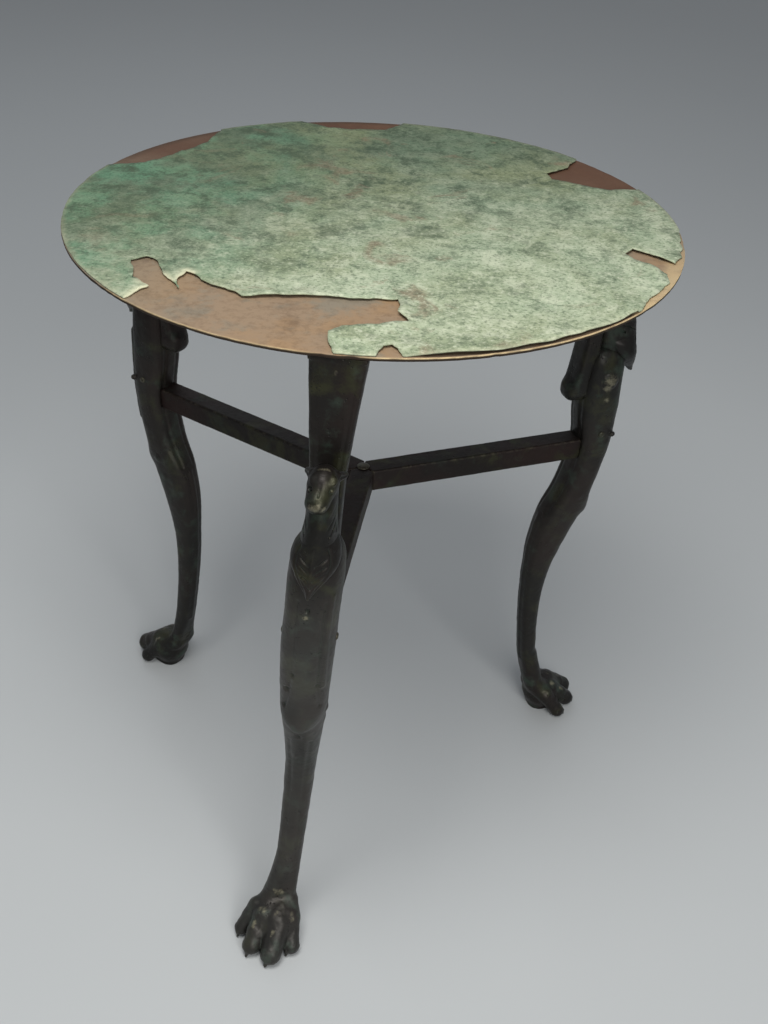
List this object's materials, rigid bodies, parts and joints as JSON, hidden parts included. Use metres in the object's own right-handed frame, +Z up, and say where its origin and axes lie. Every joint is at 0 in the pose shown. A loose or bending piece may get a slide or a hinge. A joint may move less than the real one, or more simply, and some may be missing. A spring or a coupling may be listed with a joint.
{
  "type": "three-legged bronze table",
  "caption": "Low round table in the classical manner: a torn, green bronze sheet on a backing disc, carried by cast animal legs with paws and heads that a Y-shaped stretcher holds apart.",
  "frame": {"origin": "on the floor, under the middle of the table's own box", "axes": "+Z up, the front leg towards -Y, the right leg towards +X"},
  "size_m": [0.5174, 0.5412, 0.5939],
  "materials": {
    "dark_bronze": "satin",
    "patinated_sheet": "matte",
    "painted_board": "matte"
  },
  "bodies": {
    "root": {"top_sheet": "patinated_sheet", "backing_disc": "painted_board", "hub_rivet": "dark_bronze", "front_stretcher_arm": "dark_bronze", "front_cross_pin": "dark_bronze", "front_leg_casting": "dark_bronze", "front_paw": "dark_bronze", "front_bracket": "dark_bronze", "front_hound_head": "dark_bronze", "front_calyx_leaf": "dark_bronze", "front_flange_rivet_1": "dark_bronze", "front_flange_rivet_2": "dark_bronze", "right_stretcher_arm": "dark_bronze", "right_cross_pin": "dark_bronze", "right_leg_casting": "dark_bronze", "right_paw": "dark_bronze", "right_bracket": "dark_bronze", "right_hound_head": "dark_bronze", "right_calyx_leaf": "dark_bronze", "right_flange_rivet_1": "dark_bronze", "right_flange_rivet_2": "dark_bronze", "left_stretcher_arm": "dark_bronze", "left_cross_pin": "dark_bronze", "left_leg_casting": "dark_bronze", "left_paw": "dark_bronze", "left_bracket": "dark_bronze", "left_hound_head": "dark_bronze", "left_calyx_leaf": "dark_bronze", "left_flange_rivet_1": "dark_bronze", "left_flange_rivet_2": "dark_bronze"}
  },
  "joints": []
}
